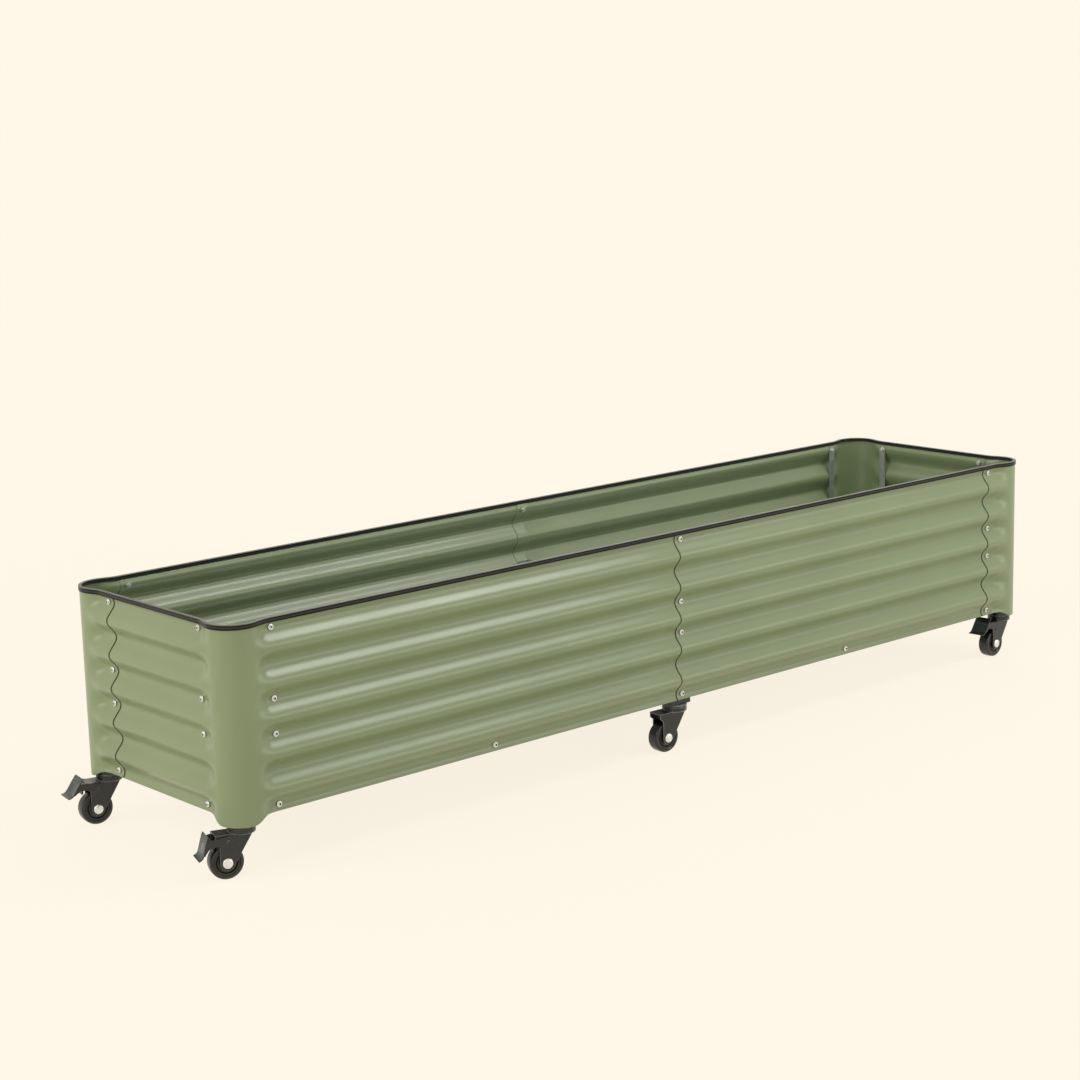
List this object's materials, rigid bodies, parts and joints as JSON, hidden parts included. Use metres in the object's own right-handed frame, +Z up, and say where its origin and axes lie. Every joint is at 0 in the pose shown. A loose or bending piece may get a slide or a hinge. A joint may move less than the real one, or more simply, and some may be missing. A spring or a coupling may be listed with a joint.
{
  "type": "rolling planter",
  "caption": "Long raised planter of corrugated painted sheet steel with smooth rounded corners, a rubber rim trim, a drained floor and braked swivel casters.",
  "frame": {"origin": "on the ground, under the middle of the bed", "axes": "+X along the length, +Y from the front long side to the back one, +Z up"},
  "size_m": [1.9092, 0.43, 0.3801],
  "materials": {
    "painted_sheet": "satin sage green powder coat",
    "rim_rubber": "matte black",
    "black_steel": "satin black",
    "pedal_steel": "satin black, lighter where worn",
    "zinc_steel": "zinc plated sheet",
    "zinc_hardware": "bright zinc",
    "hub_plastic": "matte black",
    "tyre_rubber": "matte black"
  },
  "bodies": {
    "bed": {"corner_panel_fl": "painted_sheet", "corner_bracket_fl": "black_steel", "corner_panel_fr": "painted_sheet", "corner_bracket_fr": "black_steel", "corner_panel_br": "painted_sheet", "corner_bracket_br": "black_steel", "corner_panel_bl": "painted_sheet", "corner_bracket_bl": "black_steel", "side_panel_fr": "painted_sheet", "side_panel_bl": "painted_sheet", "stiffener_strips": "zinc_steel", "rim_trim": "rim_rubber", "mid_crossbar": "black_steel", "cross_brace": "zinc_steel", "floor_panel_l": "zinc_steel", "floor_panel_r": "zinc_steel", "floor_beam_l": "zinc_steel", "floor_beam_r": "zinc_steel", "panel_screws": "zinc_hardware", "panel_nuts": "zinc_hardware", "stem_nuts": "zinc_hardware", "caster_stem_fl": "black_steel", "caster_stem_fm": "black_steel", "caster_stem_fr": "black_steel", "caster_stem_bl": "black_steel", "caster_stem_bm": "black_steel", "caster_stem_br": "black_steel"},
    "swivel_fl": {"fork_fl": "black_steel", "axle_fl": "zinc_hardware"},
    "wheel_fl": {"wheel_hub_fl": "hub_plastic", "tyre_fl": "tyre_rubber"},
    "pedal_fl": {"brake_pedal_fl": "pedal_steel"},
    "swivel_fm": {"fork_fm": "black_steel", "axle_fm": "zinc_hardware"},
    "wheel_fm": {"wheel_hub_fm": "hub_plastic", "tyre_fm": "tyre_rubber"},
    "swivel_fr": {"fork_fr": "black_steel", "axle_fr": "zinc_hardware"},
    "wheel_fr": {"wheel_hub_fr": "hub_plastic", "tyre_fr": "tyre_rubber"},
    "pedal_fr": {"brake_pedal_fr": "pedal_steel"},
    "swivel_bl": {"fork_bl": "black_steel", "axle_bl": "zinc_hardware"},
    "wheel_bl": {"wheel_hub_bl": "hub_plastic", "tyre_bl": "tyre_rubber"},
    "pedal_bl": {"brake_pedal_bl": "pedal_steel"},
    "swivel_bm": {"fork_bm": "black_steel", "axle_bm": "zinc_hardware"},
    "wheel_bm": {"wheel_hub_bm": "hub_plastic", "tyre_bm": "tyre_rubber"},
    "swivel_br": {"fork_br": "black_steel", "axle_br": "zinc_hardware"},
    "wheel_br": {"wheel_hub_br": "hub_plastic", "tyre_br": "tyre_rubber"},
    "pedal_br": {"brake_pedal_br": "pedal_steel"}
  },
  "joints": [
    {"name": "swivel_turn_fl", "type": "hinge", "parent": "bed", "child": "swivel_fl", "pos_m": [-0.881, -0.181, 0.075], "axis": [0, 0, 1], "continuous": true},
    {"name": "wheel_roll_fl", "type": "hinge", "parent": "swivel_fl", "child": "wheel_fl", "pos_m": [-0.90558, -0.17253, 0.026], "axis": [0.3256, 0.9455, 0], "continuous": true},
    {"name": "brake_tilt_fl", "type": "hinge", "parent": "swivel_fl", "child": "pedal_fl", "pos_m": [-0.90369, -0.17319, 0.059], "axis": [0.3256, 0.9455, 0], "range_deg": [0, 19]},
    {"name": "swivel_turn_fm", "type": "hinge", "parent": "bed", "child": "swivel_fm", "pos_m": [0, -0.181, 0.075], "axis": [0, 0, 1], "continuous": true},
    {"name": "wheel_roll_fm", "type": "hinge", "parent": "swivel_fm", "child": "wheel_fm", "pos_m": [-0.02596, -0.17964, 0.026], "axis": [0.0523, 0.9986, 0], "continuous": true},
    {"name": "swivel_turn_fr", "type": "hinge", "parent": "bed", "child": "swivel_fr", "pos_m": [0.881, -0.181, 0.075], "axis": [0, 0, 1], "continuous": true},
    {"name": "wheel_roll_fr", "type": "hinge", "parent": "swivel_fr", "child": "wheel_fr", "pos_m": [0.85504, -0.18236, 0.026], "axis": [-0.0523, 0.9986, 0], "continuous": true},
    {"name": "brake_tilt_fr", "type": "hinge", "parent": "swivel_fr", "child": "pedal_fr", "pos_m": [0.85703, -0.18226, 0.059], "axis": [-0.0523, 0.9986, 0], "range_deg": [-19, 0]},
    {"name": "swivel_turn_bl", "type": "hinge", "parent": "bed", "child": "swivel_bl", "pos_m": [-0.881, 0.181, 0.075], "axis": [0, 0, 1], "continuous": true},
    {"name": "wheel_roll_bl", "type": "hinge", "parent": "swivel_bl", "child": "wheel_bl", "pos_m": [-0.9066, 0.18552, 0.026], "axis": [0.1736, 0.9848, 0], "continuous": true},
    {"name": "brake_tilt_bl", "type": "hinge", "parent": "swivel_bl", "child": "pedal_bl", "pos_m": [-0.90463, 0.18517, 0.059], "axis": [0.1736, 0.9848, 0], "range_deg": [-19, 0]},
    {"name": "swivel_turn_bm", "type": "hinge", "parent": "bed", "child": "swivel_bm", "pos_m": [0, 0.181, 0.075], "axis": [0, 0, 1], "continuous": true},
    {"name": "wheel_roll_bm", "type": "hinge", "parent": "swivel_bm", "child": "wheel_bm", "pos_m": [-0.02575, 0.18462, 0.026], "axis": [0.1392, 0.9903, 0], "continuous": true},
    {"name": "swivel_turn_br", "type": "hinge", "parent": "bed", "child": "swivel_br", "pos_m": [0.881, 0.181, 0.075], "axis": [0, 0, 1], "continuous": true},
    {"name": "wheel_roll_br", "type": "hinge", "parent": "swivel_br", "child": "wheel_br", "pos_m": [0.90558, 0.17253, 0.026], "axis": [-0.3256, -0.9455, 0], "continuous": true},
    {"name": "brake_tilt_br", "type": "hinge", "parent": "swivel_br", "child": "pedal_br", "pos_m": [0.90369, 0.17319, 0.059], "axis": [-0.3256, -0.9455, 0], "range_deg": [0, 19]}
  ]
}
